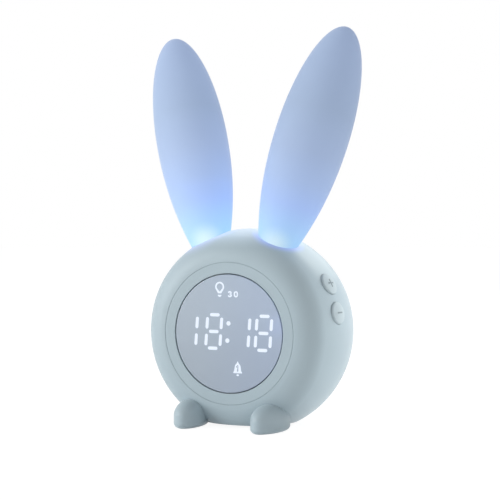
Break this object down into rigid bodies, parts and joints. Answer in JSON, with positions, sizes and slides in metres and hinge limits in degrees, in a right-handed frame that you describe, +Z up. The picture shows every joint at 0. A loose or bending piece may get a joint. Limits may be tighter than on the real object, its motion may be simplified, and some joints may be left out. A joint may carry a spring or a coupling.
{
  "type": "digital alarm clock",
  "caption": "Ball-shaped digital alarm clock with tall glowing ears, a round flat display, press keys on its sides, small front paws and a speaker grille at the back.",
  "frame": {"origin": "on the table, under the middle of the clock's outline", "axes": "+Z up, -Y out of the clock face, +X to the right of someone facing it"},
  "size_m": [0.1106, 0.0872, 0.1921],
  "materials": {
    "shell_plastic": "fine satin moulding, pale blue grey",
    "ear_plastic": "translucent satin, lit from its base",
    "lens_plastic": "smoked half-mirror sheet",
    "gasket_foam": "black closed-cell foam",
    "white_plastic": "plain white moulding",
    "lamp_resin": "clear lamp resin",
    "board_laminate": "green solder mask",
    "chip_resin": "black moulded resin",
    "screw_steel": "plated steel",
    "pad_rubber": "grey rubber",
    "speaker_metal": "grey plated steel",
    "cone_sheet": "dark formed sheet",
    "battery_foil": "laminated foil pouch"
  },
  "bodies": {
    "clock_body": {"body_shell": "shell_plastic", "rear_cover": "shell_plastic", "face_bezel": "shell_plastic", "left_paw": "shell_plastic", "right_paw": "shell_plastic", "left_ear": "ear_plastic", "right_ear": "ear_plastic", "display_lens": "lens_plastic", "lens_gasket": "gasket_foam", "battery_pad": "gasket_foam", "segment_film": "white_plastic", "segment_reflector": "white_plastic", "left_ear_collar": "white_plastic", "right_ear_collar": "white_plastic", "speaker_ring": "white_plastic", "segment_leds": "lamp_resin", "left_ear_led": "lamp_resin", "right_ear_led": "lamp_resin", "main_board": "board_laminate", "left_ear_board": "board_laminate", "right_ear_board": "board_laminate", "left_switch_board": "board_laminate", "right_switch_board": "board_laminate", "charge_board": "board_laminate", "control_chip": "chip_resin", "left_switches": "chip_resin", "right_switches": "chip_resin", "rear_cover_screws": "screw_steel", "bezel_screws": "screw_steel", "main_board_screws": "screw_steel", "ear_screws": "screw_steel", "switch_board_screws": "screw_steel", "paw_screws": "screw_steel", "charge_board_screws": "screw_steel", "usb_socket": "screw_steel", "rear_pads": "pad_rubber", "speaker_frame": "speaker_metal", "speaker_magnet": "speaker_metal", "speaker_cone": "cone_sheet", "battery_pack": "battery_foil"},
    "plus_key": {"plus_button": "shell_plastic", "plus_plunger": "white_plastic"},
    "minus_key": {"minus_button": "shell_plastic", "minus_plunger": "white_plastic"},
    "alarm_key": {"alarm_button": "shell_plastic", "alarm_plunger": "white_plastic"},
    "set_key": {"set_button": "shell_plastic", "set_plunger": "white_plastic"}
  },
  "joints": [
    {"name": "plus_press", "type": "slide", "parent": "clock_body", "child": "plus_key", "axis": [-0.9297, 0.1406, -0.3404], "range_m": [0, 0.0008], "stiffness_N_per_m": 800, "springref_m": -0.0006},
    {"name": "minus_press", "type": "slide", "parent": "clock_body", "child": "minus_key", "axis": [-0.9297, 0.1406, -0.3404], "range_m": [0, 0.0008], "stiffness_N_per_m": 800, "springref_m": -0.0006},
    {"name": "alarm_press", "type": "slide", "parent": "clock_body", "child": "alarm_key", "axis": [0.9297, 0.1406, -0.3404], "range_m": [0, 0.0008], "stiffness_N_per_m": 800, "springref_m": -0.0006},
    {"name": "set_press", "type": "slide", "parent": "clock_body", "child": "set_key", "axis": [0.9297, 0.1406, -0.3404], "range_m": [0, 0.0008], "stiffness_N_per_m": 800, "springref_m": -0.0006}
  ]
}
